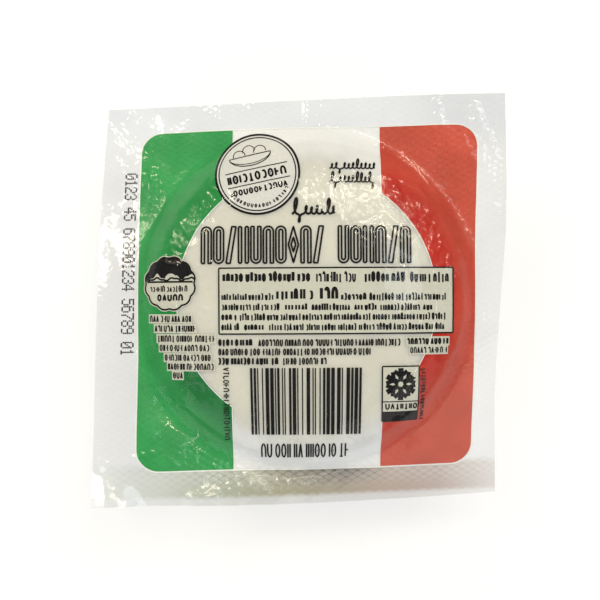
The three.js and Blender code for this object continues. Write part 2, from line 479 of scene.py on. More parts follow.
def upward(plan, faces):
    """The faces, each turned so that it looks up."""
    corner = plan[faces]
    ahead = np.roll(corner, -1, 1)
    area = (corner[..., 0] * ahead[..., 1] - ahead[..., 0] * corner[..., 1]).sum(1)
    return np.where((area < 0)[:, None], faces[:, ::-1], faces)


def resample(points, cell):
    """The same line with points no further apart than cell, and its corners kept."""
    made = [points[:1]]
    for start, end in zip(points[:-1], points[1:]):
        count = max(1, math.ceil(np.hypot(*(end - start)) / cell))
        made.append(start + (end - start) * np.linspace(0, 1, count + 1)[1:, None])
    return np.vstack(made)


def arc(x, y, radius, start, end, count):
    """Plan points along an arc, with its angles in degrees."""
    angle = np.radians(np.linspace(start, end, count))
    return curve(x + radius * np.cos(angle), y + radius * np.sin(angle))


# ---- the print's colour fields


def label_half_width(y, rim):
    """Half the rounded square's width at a height, less at its corners."""
    half_length = LABEL_LENGTH / 2 + rim
    into_corner = np.clip(np.abs(y - LABEL_Y) - (half_length - LABEL_CORNER), 0, LABEL_CORNER)
    lost = LABEL_CORNER - np.sqrt(LABEL_CORNER**2 - into_corner**2)
    return LABEL_WIDTH / 2 + rim - lost


def label_rows(rim):
    """Heights of the rows that fill the label: even, but along the arc in its corners."""
    half_length = LABEL_LENGTH / 2 + rim
    turn = np.linspace(0, math.pi / 2, 30)
    straight = half_length - LABEL_CORNER
    corner = straight + LABEL_CORNER * np.sin(turn)
    middle = np.linspace(-straight, straight, round(2 * straight / PRINT_CELL) + 1)
    meets = math.sqrt(WINDOW_RADIUS**2 - FIELD_EDGE**2)
    middle = np.union1d(middle, [meets - LABEL_Y + WINDOW_Y, -meets - LABEL_Y + WINDOW_Y])
    return LABEL_Y + np.concatenate([-corner[:0:-1], middle, corner[1:]])


def window_half_width(y):
    return np.sqrt(np.clip(WINDOW_RADIUS**2 - (y - WINDOW_Y) ** 2, 0, None))


def colour_field(ink, side):
    """One side's field, from the label's edge to its straight inner edge and the window."""
    y = label_rows(0)
    outer = LABEL_X + side * label_half_width(y, 0)
    straight = LABEL_X + side * FIELD_EDGE
    window = WINDOW_X + side * window_half_width(y)
    inner = side * np.maximum(side * window, side * straight)
    ink.patch(curve(outer, y), curve(inner, y), round(FIELD_WIDTH / PRINT_CELL))


def white_ground(ink):
    y = label_rows(LABEL_RIM)
    half = label_half_width(y, LABEL_RIM)
    ink.patch(curve(LABEL_X - half, y), curve(LABEL_X + half, y), round(LABEL_WIDTH / PRINT_CELL))


def field_rims(ink):
    """The full white that shows as a hairline round the label and along the inner edges."""
    for side in (-1, 1):
        x = LABEL_X + side * FIELD_EDGE
        meets = math.sqrt(WINDOW_RADIUS**2 - (x - WINDOW_X) ** 2)
        for end in (-1, 1):
            heights = WINDOW_Y + end * meets, LABEL_Y + end * LABEL_LENGTH / 2
            ink.stroke(curve(x, heights), WINDOW_RIM)
        reach = math.degrees(math.atan2(meets, abs(x - WINDOW_X)))
        middle = 90 - side * 90
        edge = arc(WINDOW_X, WINDOW_Y, WINDOW_RADIUS, middle - reach, middle + reach, 80)
        ink.stroke(edge, WINDOW_RIM)
        y = label_rows(LABEL_RIM / 2)
        half = label_half_width(y, LABEL_RIM / 2)
        reaches = np.concatenate([[0], half, [0]])
        ink.stroke(curve(LABEL_X + side * reaches, y[[0, *range(len(y)), -1]]), LABEL_RIM)


# ---- small print


def bow(start, end):
    """Part of the ring that fills a unit square, with its angles in degrees."""
    return arc(0.5, 0.5, 0.5, start, end, 9)


# Small signs that are no letters: how wide each is, and its pen lines in a unit square.
SIGNS = (
    (1, [bow(0, 360)]),
    (1, [bow(0, 360), [(0.4, 0.5), (0.6, 0.5)]]),
    (0.9, [bow(-130, 130)]),
    (1, [np.vstack([(0, 0), bow(180, 0), (1, 0)])]),
    (1, [np.vstack([(0, 1), bow(180, 360), (1, 1)])]),
    (0.9, [np.vstack([bow(150, 0), (1, 0)])]),
    (0.3, [[(0.5, 0), (0.5, 1)]]),
    (0.7, [[(0, 0), (0, 1)], [(1, 0), (1, 1)]]),
    (0.8, [[(0, 0), (0, 1)], [(0, 0.5), (1, 0.5)]]),
    (0.8, [[(1, 0), (1, 1)], [(0, 0.5), (1, 0.5)]]),
    (0.9, [[(0.5, 0), (0.5, 1)], [(0, 0), (1, 0)]]),
    (0.9, [[(0, 0), (0.5, 1), (1, 0)]]),
)

HALO = 0.3  # light ink shows this far round small print on a colour
# Shares of the pitch: a full sign, the gaps after a sign and a group, and room for one more.
SIGN_SHARE = 0.93
SIGN_GAP = 0.12
GROUP_GAP = 0.38
LEAST_ROOM = 0.6


def marks(ink, row, seed, capitals=False, words=(3, 8), ground=None):
    """Stands for a line of small print: groups of signs, with light ink round them on a ground.

    The row is its left end, right end, low, high, average pitch and pen width.
    """
    x0, x1, low, high, pitch, pen = row
    draw = random.Random(seed)
    x = x0
    last = x1 - pitch * LEAST_ROOM
    while x < last:
        for _ in range(draw.randint(*words)):
            if x > last:
                break
            wide, lines = draw.choice(SIGNS)
            width = max(pen, wide * pitch * SIGN_SHARE)
            height = (high - low) * (1 if capitals else draw.choice((1, 0.82, 0.82, 0.82)))
            for line in lines:
                spot = np.asarray(line) * (width - pen, height - pen) + (x + pen / 2, low + pen / 2)
                ink.stroke(spot, pen)
            if ground:
                ground.bar(x - HALO, low - HALO, x + width + HALO, low + height + HALO)
            x += width + pitch * SIGN_GAP
        x += pitch * GROUP_GAP


def capsule(x, y0, y1, half_width):
    """The closed outline of an upright capsule."""
    top = arc(x, y1 - half_width, half_width, 0, 180, 10)
    bottom = arc(x, y0 + half_width, half_width, 180, 360, 10)
    return np.vstack([top, bottom, top[:1]])


# TITLE, BOX, BARS and ICON are each a left, low, right and high edge.
TITLE = (-27.6, 10.5, 30.9, 20.6)
TITLE_SHAPES = "aosbuaodas uobasa"  # one letter for each kind of shape below
TITLE_LINE = 0.52
TITLE_BAND = 0.86  # from a shape's outer line to its inner one
SLANT_BAND = 1.161


def arch(x, foot, crown, half_width):
    """A band bent over at the crown, as a closed outline; it is a cup if the crown is lower."""
    up = 1 if crown > foot else -1
    made = []
    for half, turn in ((half_width, (180, 0)), (half_width - TITLE_BAND, (0, 180))):
        bend = arc(0, 0, half, *turn, 11) * (1, up) + (x, crown - up * half_width)
        made += [(bend[0, 0], foot), *bend, (bend[-1, 0], foot)]
    return [*made, made[0]]


def slanted_band(x, low, high, half_width, thick):
    """The closed outline of a band that leans from low left to high right."""
    left, right = x - half_width, x + half_width
    return [(left, low), (left + thick, low), (right, high), (right - thick, high), (left, low)]


def diamond(x, low, high, half_width):
    sides = np.array([1, 0, -1, 0, 1]), np.array([0, 1, 0, -1, 0])
    return curve(x + half_width * sides[0], (low + high + (high - low) * sides[1]) / 2)


def title_band(ink):
    """A row of tall shapes in double line."""
    left, low, right, high = TITLE
    pitch, band = (right - left) / len(TITLE_SHAPES), TITLE_BAND
    half = pitch * 0.4
    for index, shape in enumerate(TITLE_SHAPES):
        x = left + pitch * (index + 0.5)
        outlines = {  # arch, cup, oval, bars, slant, diamond and gap
            "a": [arch(x, low, high, half)],
            "u": [arch(x, high, low, half)],
            "o": [capsule(x, low, high, half), capsule(x, low + band, high - band, half - band)],
            "b": [capsule(x + side * (half - band / 2), low, high, band / 2) for side in (-1, 1)],
            "s": [slanted_band(x, low, high, half, SLANT_BAND)],
            "d": [diamond(x, low, high, half), diamond(x, low + 3, high - 3, half * 0.45)],
            " ": [],
        }
        for outline in outlines[shape]:
            ink.stroke(outline, TITLE_LINE)


BADGE_X = -11.8
BADGE_Y = 35.8
BADGE_RADIUS = 12
BADGE_TURN = 11.5
RIM_SIGNS = 18  # they stand along its low rim, and their turns are in degrees
RIM_START = -58
RIM_STEP = 6.4


def badge(ink, ground):
    """A plain round seal, turned a little: two rings, a bowl of balls, rules and signs."""
    x, y = BADGE_X, BADGE_Y
    ground.disc(x, y, BADGE_RADIUS)
    ink.disc(x, y, BADGE_RADIUS, BADGE_RADIUS - 0.62)
    ink.disc(x, y, BADGE_RADIUS - 1.05, BADGE_RADIUS - 1.4)
    ink.turn_about(x, y, BADGE_TURN)
    for ball_x, ball_y in ((-4.1, 6), (-1.2, 7), (1.9, 6.3)):
        ink.stroke(arc(x + ball_x, y + ball_y, 1.7, -10, 190, 16), 0.27)
    bowl = arc(0, 0, 1, 180, 360, 24) * (5.9, 3.1) + (x - 1.1, y + 5.5)
    ink.stroke(np.vstack([bowl, bowl[:1]]), 0.3)
    ink.stroke(bowl * (1, 0.8) + (0, 0.2 * (y + 5.5)), 0.22)
    for level in (1.3, -2.9):
        ink.stroke([(x - 8.9, y + level), (x + 8.8, y + level)], 0.28)
    marks(ink, (x - 8.6, x + 8.4, y - 2.15, y + 0.55, 1.85, 0.58), 31, True, (12, 12))
    marks(ink, (x - 7.7, x + 7.7, y - 5.6, y - 3.7, 1.4, 0.46), 36, True, (12, 12))
    for step in range(RIM_SIGNS):
        ink.turn_about(x, y, BADGE_TURN + RIM_START + RIM_STEP * step)
        marks(ink, (x - 0.4, x + 0.6, y - 10, y - 8.8, 0.8, 0.28), 60 + step, True, (1, 1))
    ink.turn_about(0, 0, 0)


ROSETTE_X = -36.4
ROSETTE_Y = 5.05
ROSETTE_RADIUS = 7.3
ROSETTE_LOBES = 12


def rosette_edge(angle, scale=1):
    lobes = 0.96 + 0.065 * np.abs(np.sin(ROSETTE_LOBES * angle / 2))
    radius = scale * ROSETTE_RADIUS * lobes
    return curve(ROSETTE_X + radius * np.cos(angle), ROSETTE_Y + radius * np.sin(angle))


def rosette(ink, ground):
    """A scalloped seal: light hills and a low sun under a dark sky, and a few marks below."""
    x, y = ROSETTE_X, ROSETTE_Y
    whole = np.linspace(0, 2 * math.pi, 120)
    rows = round(ROSETTE_RADIUS / PRINT_CELL)
    ground.patch((x, y), rosette_edge(whole, 1.07), rows)
    ink.stroke(rosette_edge(whole), 0.48)
    level = y + 0.7
    upper = np.linspace(0.11, math.pi - 0.11, 90)
    edge = rosette_edge(upper, 0.99)
    across = np.linspace(edge[0, 0], edge[-1, 0], len(upper))
    sun = np.sqrt(np.clip(1.7**2 - (across - x - 0.4) ** 2, 0, None)) + 0.4
    hills = 1.1 + 0.75 * np.sin(1.3 * (across - x)) + 0.3 * np.sin(3.1 * across)
    ink.patch(curve(across, level + np.maximum(sun, hills)), edge, rows)
    ink.bar(x - 6.7, level - 0.5, x + 6.7, level)
    ink.stroke(curve(across, level + hills * 0.45), 0.5)
    marks(ink, (x - 5.8, x + 5.8, y - 2.4, y - 0.5, 0.9, 0.32), 41)
    marks(ink, (x - 3.6, x + 3.8, y - 5, y - 2.9, 1.5, 0.52), 42, True, (6, 6))


BOX = (-22.4, -9, 42.6, 9.15)

# Rows of small print: left, right, low, high, average pitch and pen width.
BOX_ROWS = (
    (-21.4, 3, 5.2, 8.4, 1.28, 0.8), (4.4, 15.8, 5.1, 8.2, 1.15, 0.44),
    (17.5, 29.5, 5.1, 8.2, 1.3, 0.6), (30.3, 41.8, 5, 8.1, 1.15, 0.5),
    (-21.7, -7.4, 0.2, 2.3, 0.84, 0.42), (-6.6, 4.3, 0.3, 3.6, 1.35, 0.68),
    (5.4, 10.1, 0.2, 4.8, 2.1, 0.85), (11.2, 18.3, 0.1, 2.3, 1.05, 0.52),
    (19, 41.4, 0, 2.3, 0.86, 0.42), (-21.7, -5.1, -2.6, -0.4, 0.86, 0.42),
    (-4.2, 2.5, -2.6, -0.4, 1, 0.55), (3.1, 14, -2.7, -0.5, 0.86, 0.42),
    (14.8, 21.1, -2.7, -0.5, 1, 0.55), (21.8, 33.1, -2.8, -0.6, 0.86, 0.42),
    (33.9, 37.6, -2.8, -0.6, 1, 0.55), (-21.8, -17.4, -5.3, -3.1, 1, 0.55),
    (-16.8, 41.4, -5.4, -3.2, 0.86, 0.42), (-21.8, -16.3, -8.1, -5.9, 0.86, 0.42),
    (-15.5, -9.4, -8.1, -5.9, 1, 0.55), (-8.6, 40.2, -8.2, -6, 0.86, 0.42),
)
LOWER_ROWS = (
    (-22.7, -12.3, -12.4, -10.3, 1.08, 0.54), (-11.6, 27.8, -12.5, -10.4, 0.98, 0.37),
    (29.4, 41.4, -12.3, -10.3, 1.05, 0.46), (-22.7, 19.7, -15, -12.9, 0.98, 0.37),
    (30.3, 41.5, -14.7, -12.8, 0.95, 0.32), (-22.8, -5.7, -17.6, -15.4, 1.08, 0.54),
    (-5, 7.8, -17.6, -15.5, 0.98, 0.36),
)
SIDE_ROWS = (  # left, right and middle height
    (-42.3, -30, -4.8), (-40.8, -28.6, -7.5), (-40, -23, -10.3),
    (-39.4, -24.7, -12.9), (-38, -24.4, -15.6), (-37.1, -23.1, -18.1),
    (-35.7, -31.8, -20.6),
)
FOOT_ROW = (-11.2, 14.4, -44.1, -39.6, 1.6, 0.43)


def fact_box(ink, ground):
    """A thin frame round rows of small print on a light ground."""
    ground.bar(*BOX)
    ink.frame(*BOX, 0.4)
    for index, row in enumerate(BOX_ROWS):
        marks(ink, row, 150 + index)


def text_rows(ink, ground):
    """Lines below the box, partly on the red, stepped ones on the green, and one at the foot."""
    for index, row in enumerate(LOWER_ROWS):
        marks(ink, row, 180 + index, True, ground=ground if row[1] > 28 else None)
    for index, (left, right, middle) in enumerate(SIDE_ROWS):
        row = (left, right, middle - 1, middle + 1, 0.98, 0.34)
        marks(ink, row, 200 + index, True, ground=ground)
    marks(ink, FOOT_ROW, 222, True, (2, 4))


BARS = (-13.95, -37.1, 16.9, -18.4)
BARS_NARROWING = 0.25
BAR_MODULES = 95


def striped_code(ink):
    """Upright stripes of one to three modules, drawn together a little at the bottom."""
    draw = random.Random(7)
    left, low, right, high = BARS
    module, middle = (right - left) / BAR_MODULES, (left + right) / 2
    shrink = 1 - 2 * BARS_NARROWING / (right - left)
    at = 0
    while at < BAR_MODULES:
        width = min(draw.choice((1, 1, 2, 2, 3)), BAR_MODULES - at)
        sides = left + module * at, left + module * (at + width)
        ends = [curve((x, middle + (x - middle) * shrink), (high, low)) for x in sides]
        ink.patch(*(resample(end, PRINT_CELL) for end in ends))
        at += width + draw.choice((1, 1, 2, 2, 3))


# Rows that read upwards: middle, low end, length, height, average pitch and pen width.
UPRIGHT_ROWS = (
    (-20.6, -38.9, 20.8, 1.8, 1.2, 0.31),
    (34.1, -34.1, 15.8, 1.6, 0.92, 0.34),
)


def upright_rows(ink):
    """A line of signs left of the stripes, and one right of the icon."""
    for index, (x, low, length, height, pitch, pen) in enumerate(UPRIGHT_ROWS):
        ink.turn_about(x, low, 90)
        row = (x, x + length, low - height / 2, low + height / 2, pitch, pen)
        marks(ink, row, 230 + index, index == 0, (9, 12))
    ink.turn_about(0, 0, 0)


ICON = (22.6, -33.7, 32.9, -18.2)
ICON_STRIP = 2.8


def cold_icon(ink, ground):
    """A framed snow crystal over a light and a dark strip, for food that is kept cold."""
    left, low, right, high = ICON
    ground.bar(*ICON)
    ink.frame(*ICON, 0.38)
    ink.bar(left, low, right, low + ICON_STRIP)
    ink.stroke([(left, low + 2 * ICON_STRIP), (right, low + 2 * ICON_STRIP)], 0.3)
    row = (left + 0.8, right - 0.6, low + ICON_STRIP + 0.5, low + 2 * ICON_STRIP - 0.4, 1.45, 0.45)
    marks(ink, row, 130, True, (8, 8))
    x, y = (left + right) / 2, high - 5
    for arm in range(6):
        ink.turn_about(x, y, 60 * arm)
        ink.stroke([(x, y + 0.7), (x, y + 4.5)], 1.5)
        for side in (-1, 1):
            ink.stroke([(x, y + 2.2), (x + side * 1.8, y + 3.7)], 1.15)
    ink.turn_about(0, 0, 0)


# Pen flourishes: left, right, base line, tallest loop, pen width, and each loop's share of that.
FLOURISHES = (
    (-2.2, 9.9, 24, 4.5, 0.62, (1, -0.5, 0.5, 0.42, 0.5, 0.3, 0.95, 0.45)),
    (8.3, 21.2, 36.8, 2.8, 0.42, (0.5, 0.6, -0.5, 0.6, 0.5, 0.6, 1, 0.55, 0.6, 0.5, 0.6)),
    (8.3, 21, 32.9, 3, 0.42, (1, -0.5, 0.5, 0.6, 0.55, 0.6, 1, 0.9, 0.5, 1, -0.6)),
)


def script_lines(ink):
    """Flowing pen lines with tall, low and hanging loops."""
    for x0, x1, base, tallest, pen, loops in FLOURISHES:
        turn = np.linspace(0, len(loops), 14 * len(loops), endpoint=False)
        share = np.array(loops)[turn.astype(int)]
        lift = share * np.sin(np.pi * turn) ** 2
        swing = 0.45 * np.sqrt(np.abs(share)) * np.sin(2 * np.pi * turn)
        x = x0 + (x1 - x0) * (turn + swing + 0.35 * lift) / len(loops)
        ink.stroke(curve(x, base + tallest * lift), pen)


# The dots of the ten digits, from 0 on, row by row.
DIGIT_ROWS = (
    "01110 00100 01110 01110 00010 11111 01110 11111 01110 01110",
    "10001 01100 10001 10001 00110 10000 10000 00001 10001 10001",
    "10011 00100 00001 00001 01010 11110 11110 00010 10001 10001",
    "10101 00100 00110 00110 10010 00001 10001 00100 01110 01111",
    "11001 00100 01000 00001 11111 00001 10001 01000 10001 00001",
    "10001 00100 10000 10001 00010 10001 10001 01000 10001 00001",
    "01110 01110 11111 01110 00010 01110 01110 01000 01110 01110",
)
CODE_DIGITS = "0123 45 678901234 56789 01"
CODE_ENDS = (-47.3, 37.2, -47.6, -15.6)  # X and Y of its start and end
CODE_HEIGHT = 3.2


def stamped_digits(ink):
    """Plain counting digits sprayed as dots, reading down the left flange."""
    start_x, start_y, end_x, end_y = CODE_ENDS
    step = (start_y - end_y) / len(CODE_DIGITS)
    lean = (end_x - start_x) / len(CODE_DIGITS)
    across, down = step * 0.72 / 4, CODE_HEIGHT / 6
    for place, digit in enumerate(CODE_DIGITS):
        for row, line in enumerate(DIGIT_ROWS if digit.isdigit() else ()):
            for column, dot in enumerate(line.split()[int(digit)]):
                if dot == "1":
                    x = start_x + lean * place - down * row
                    y = start_y - step * place - across * column
                    ink.disc(x, y, 0.26)


# ---- materials


class Nodes:
    """A material's node tree, with short calls to add and join nodes."""

    def __init__(self, name):
        self.material = bpy.data.materials.new(name)
        self.material.use_nodes = True
        self.tree = self.material.node_tree
        self.tree.nodes.clear()

    def add(self, kind, inputs=(), output=0, **settings):
        """One output of a new node, whose inputs are joined to sockets or set to values."""
        node = self.tree.nodes.new("ShaderNode" + kind)
        for key, value in settings.items():
            setattr(node, key, value)
        for key, value in dict(inputs).items():
            if isinstance(value, bpy.types.NodeSocket):
                self.tree.links.new(value, node.inputs[key])
            else:
                node.inputs[key].default_value = value
        return node.outputs[output]

    def math(self, operation, *values):
        return self.add("Math", dict(enumerate(values)), operation=operation)

    def plus(self, first, second):
        return self.math("ADD", first, second)

    def times(self, first, second):
        return self.math("MULTIPLY", first, second)

    def vector(self, operation, first, second):
        return self.add("VectorMath", {0: first, 1: second}, operation=operation)

    def place(self, scale=1):
        """Position on the pack, with 1 millimetre as scale units."""
        return self.vector("MULTIPLY", self.add("TexCoord", output="Object"), (scale / MM,) * 3)

    def plan(self):
        """X and Y on the pack in millimetres."""
        parts = self.add("SeparateXYZ", {0: self.place()}).node
        return parts.outputs["X"], parts.outputs["Y"]

    def from_axis(self):
        """Distance from the cheese's axis in millimetres."""
        offset = self.vector("SUBTRACT", self.place(), (CHEESE_X, CHEESE_Y, 0))
        flat = self.vector("MULTIPLY", offset, (1, 1, 0))
        return self.add("VectorMath", {0: flat}, "Value", operation="LENGTH")

    def span(self, value, start, end, smooth=True):
        """0 up to start and 1 from end on, with start and end in either order."""
        inputs = {"Value": value, "From Min": start, "From Max": end}
        kind = "SMOOTHSTEP" if smooth else "LINEAR"
        return self.add("MapRange", inputs, interpolation_type=kind)

    def noise(self, size, detail=3, roughness=0.5):
        """Smooth noise whose features are about size millimetres."""
        inputs = {"Scale": 1, "Detail": detail, "Roughness": roughness}
        return self.add("TexNoise", {"Vector": self.place(1 / size), **inputs})

    def ramp(self, value, *stops):
        """A colour ramp from (position, colour) stops."""
        made = self.add("ValToRGB", {"Fac": value})
        elements = made.node.color_ramp.elements
        while len(elements) < len(stops):
            elements.new(0.5)
        for element, (position, colour) in zip(elements, stops):
            element.position, element.color = position, (*colour, 1)
        return made

    def mottle(self, dark, light, size, detail=3, roughness=0.5):
        """Smooth noise between two colours."""
        return self.ramp(self.noise(size, detail, roughness), (0.3, dark), (0.7, light))

    def mix(self, share, first, second, blend="MIX"):
        """Two colours mixed, which are the Mix node's inputs 6 and 7 and its output 2."""
        inputs = {0: share, 6: first, 7: second}
        return self.add("Mix", inputs, 2, data_type="RGBA", blend_type=blend)

    def multiply(self, first, second):
        return self.mix(1, first, second, "MULTIPLY")

    def bump(self, height, strength, distance, **on):
        """A relief of this distance in millimetres, on another Normal if one is given."""
        inputs = {"Height": height, "Strength": strength, "Distance": distance * MM, **on}
        return self.add("Bump", inputs)

    def output(self, shader):
        end = self.tree.nodes.new("ShaderNodeOutputMaterial")
        self.tree.links.new(shader, end.inputs["Surface"])
        return self.material

    def solid(self, colour, roughness, more):
        """The material with one Principled shader."""
        inputs = {"Base Color": colour, "Roughness": roughness, **more}
        return self.output(self.add("BsdfPrincipled", inputs))


def grey(value):
    return (value,) * 3


FILM_ROUGHNESS = 0.09
FILM_HAZE = (0.86, 0.87, 0.88, 1)
LEAST_REFLECTION = 0.026
SLANT_REFLECTION = 0.9  # what a film reflects more at a slant


def film_reflection(nodes, normal):
    """The share that a thin film reflects, the same from either side, and most at a slant."""
    facing = nodes.add("LayerWeight", {"Blend": 0.5, "Normal": normal}, "Facing")
    slant = nodes.times(nodes.math("POWER", facing, 5), SLANT_REFLECTION)
    return nodes.plus(slant, LEAST_REFLECTION)


def film_shader(nodes, tint, haze_share):
    """Clear glossy film: seen through, a little milky, and glossy by its angle."""
    normal = film_ripple(nodes)
    clear = nodes.add("BsdfTransparent", {"Color": tint})
    haze = nodes.add("BsdfDiffuse", {"Color": FILM_HAZE, "Normal": normal})
    gloss = nodes.add("BsdfGlossy", {"Roughness": FILM_ROUGHNESS, "Normal": normal})
    body = nodes.add("MixShader", {0: haze_share, 1: clear, 2: haze})
    return nodes.add("MixShader", {0: film_reflection(nodes, normal), 1: body, 2: gloss})


def crease_lines(nodes, size):
    """Thin winding lines, 1 high, that follow the level lines of noise of this size."""
    level = nodes.math("ABSOLUTE", nodes.math("SUBTRACT", nodes.noise(size, 1), 0.5))
    return nodes.span(level, 0.07, 0)


def film_ripple(nodes):
    """The film's finest unevenness, too small for the mesh, and sharpest where it is crumpled."""
    crumple = nodes.add("Attribute", (), "Fac", attribute_name=CRUMPLED)
    creases = nodes.plus(crease_lines(nodes, 2.4), nodes.times(crease_lines(nodes, 1.2), 0.35))
    slack = nodes.bump(nodes.noise(3), 0.35, 0.12)
    return nodes.bump(creases, nodes.times(crumple, crumple), 0.13, Normal=slack)


def front_film_material():
    nodes = Nodes("clear_film_front")
    tint = nodes.mottle((0.93, 0.935, 0.94), (0.965, 0.97, 0.97), 14)
    share = nodes.ramp(nodes.noise(5), (0.4, grey(0)), (0.8, grey(0.01)))
    return nodes.output(film_shader(nodes, tint, share))


def seal_net(nodes):
    """1 on the lines of the pressed diamond net and 0 inside its cells."""
    turns = (2 * math.pi / KNURL_PITCH_X, 2 * math.pi / KNURL_PITCH_Y, 0)
    phase = nodes.vector("MULTIPLY", nodes.place(), turns)
    parts = nodes.add("SeparateXYZ", {0: phase}).node
    waves = [nodes.math("COSINE", parts.outputs[axis]) for axis in "XY"]
    return nodes.span(nodes.math("ABSOLUTE", nodes.plus(*waves)), 0.55, 0.1)


# The painted shade and whey tint at the bottom, from left to right: where each colour stands, as a
# share of the width, and the colour.
SHADE_AND_WHEY_COLOURS = (
    (0, (0.88, 0.89, 0.86)), (0.18, (0.67, 0.7, 0.61)), (0.3, (0.51, 0.54, 0.4)),
    (0.42, (0.49, 0.47, 0.3)), (0.58, (0.43, 0.365, 0.25)), (0.72, (0.53, 0.395, 0.3)),
    (0.85, (0.55, 0.43, 0.375)), (1, (0.75, 0.72, 0.68)),
)


def shade_and_whey_tint(nodes, across, along):
    """Painted shade of the cheese's side and its shadow, seen through the film at the bottom, with a
    whey tint: grey-green, olive, then pinkish.
    """
    share = nodes.span(across, -HALF_WIDTH, HALF_WIDTH, smooth=False)
    thin = nodes.ramp(share, *SHADE_AND_WHEY_COLOURS)
    # The darkest painted shade, in a band just under the print.
    deepest_shade_across = nodes.ramp(share, (0.39, grey(0)), (0.5, grey(0.8)), (0.62, grey(1)), (0.72, grey(0)))
    deepest_shade = nodes.times(deepest_shade_across, nodes.span(along, -52.8, -47.6, smooth=False))
    return nodes.multiply(thin, nodes.mix(deepest_shade, (1, 1, 1, 1), (0.12, 0.1, 0.05, 1)))


def back_film_material():
    """Clear film, milkier on the seal's net, with painted shade towards the top and in the top right
    corner, and at the bottom a whey tint with painted shade of the cheese's side and its shadow.
    """
    nodes = Nodes("clear_film_back")
    across, along = nodes.plan()
    net = nodes.times(seal_net(nodes), nodes.span(nodes.from_axis(), 46, 50))
    # Painted shade at the bottom: the cheese's shaded side and its shadow seen through the film,
    # with a whey tint.
    depth = nodes.plus(along, nodes.times(nodes.noise(6), 2))
    low = nodes.times(nodes.span(depth, -44, -47), nodes.span(along, -56.2, -54.2))
    shade_and_whey_share = nodes.times(low, nodes.plus(nodes.times(net, 0.25), 0.75))
    shade_and_whey_share = nodes.plus(shade_and_whey_share, nodes.times(nodes.span(along, -49, -55), 0.25))
    cloud = nodes.mottle(grey(0.9), grey(0.94), 18)
    # Painted shade, a little cool, towards the top, and more of it in the top right corner.
    high = nodes.ramp(nodes.span(along, 38, 52), (0, grey(1)), (1, (0.91, 0.93, 0.97)))
    corner = nodes.span(nodes.plus(across, along), 70, 100)
    shade = nodes.ramp(corner, (0, grey(1)), (1, grey(0.88)))
    plain = nodes.multiply(nodes.multiply(cloud, high), shade)
    tint = nodes.mix(shade_and_whey_share, plain, shade_and_whey_tint(nodes, across, along))
    milk = nodes.plus(nodes.times(net, 0.02), 0.07)
    return nodes.output(film_shader(nodes, tint, milk))


def cheese_material():
    """Moist, slightly see-through milk white, with faint curd mottling."""
    nodes = Nodes("cheese")
    colour = nodes.mottle((0.71, 0.675, 0.48), (0.78, 0.745, 0.565), 11, 4, 0.55)
    wetness = nodes.ramp(nodes.noise(6, 2), (0.35, grey(0.22)), (0.65, grey(0.42)))
    inside = {"Weight": 0.35, "Radius": (1, 0.85, 0.6), "Scale": 0.006}
    more = {"Subsurface " + key: value for key, value in inside.items()}
    more["Normal"] = nodes.bump(nodes.noise(1.8), 0.3, 0.3)
    return nodes.solid(colour, wetness, more)


def field_ink_material(name, shaded_low_on_cheese, high_on_cheese, near_cheese, on_flange):
    """Ink under film: deepest on the moist cheese, darker still low down with painted shade, and
    dull over the seal.
    """
    nodes = Nodes(name)
    edge = nodes.plus(nodes.from_axis(), nodes.times(nodes.noise(8), 5))
    dry = nodes.span(edge, 42, 47.5)
    sealed = nodes.span(edge, 50, 52.5)
    _, along = nodes.plan()
    # Lower down on the cheese the ink is darker: painted shade on the shoulder that faces away from
    # the light.
    high = nodes.span(along, -24, 4)
    on_cheese = nodes.mix(high, (*shaded_low_on_cheese, 1), (*high_on_cheese, 1))
    body = nodes.mix(sealed, nodes.mix(dry, on_cheese, (*near_cheese, 1)), (*on_flange, 1))
    grain = nodes.mottle(grey(0.84), grey(1.16), 0.45, 3, 0.7)
    cloud = nodes.mottle(grey(0.9), grey(1.08), 10)
    net = nodes.times(seal_net(nodes), sealed)
    pressed = nodes.mix(net, (*grey(1.03), 1), (*grey(0.95), 1))
    colour = nodes.multiply(nodes.multiply(nodes.multiply(body, grain), cloud), pressed)
    return nodes.solid(colour, 0.45, {"Specular IOR Level": 0.2})


def green_ink_material():
    # The first colour is darker with painted shade low down on the cheese.
    over_cheese = (0.006, 0.168, 0.034), (0.008, 0.245, 0.046)
    return field_ink_material("green_ink", *over_cheese, (0.024, 0.298, 0.068), (0.03, 0.332, 0.082))


def red_ink_material():
    over_cheese = (0.45, 0.016, 0.004), (0.47, 0.016, 0.004)
    return field_ink_material("red_ink", *over_cheese, (0.54, 0.06, 0.03), (0.58, 0.09, 0.052))


def plain_ink(name, dark, light):
    """An even ink with a faint grain."""
    nodes = Nodes(name)
    colour = nodes.mottle(dark, light, 0.9, 3, 0.7)
    return nodes.solid(colour, 0.6, {"Specular IOR Level": 0.05})


def white_ink_material():
    """Thin printed white: see-through where it lies on moist cheese, and fuller where it is dry."""
    nodes = Nodes("white_ink")
    colour = nodes.mottle((0.84, 0.845, 0.84), (0.89, 0.895, 0.89), 0.9, 3, 0.7)
    edge = nodes.plus(nodes.from_axis(), nodes.times(nodes.noise(7), 6))
    cover = nodes.plus(nodes.times(nodes.span(edge, 37, 47), 0.46), 0.44)
    return nodes.solid(colour, 0.5, {"Specular IOR Level": 0.2, "Alpha": cover})


def light_ink_material():
    """Full white under the small print, as it looks over the cheese."""
    return plain_ink("light_ink", (0.575, 0.57, 0.48), (0.635, 0.63, 0.54))


def rim_ink_material():
    return plain_ink("rim_ink", (0.84, 0.86, 0.83), (0.9, 0.92, 0.89))


def badge_ink_material():
    return plain_ink("badge_ink", (0.67, 0.665, 0.63), (0.74, 0.735, 0.7))


def black_ink_material():
    return plain_ink("black_ink", (0.001, 0.001, 0.001), (0.007, 0.006, 0.005))


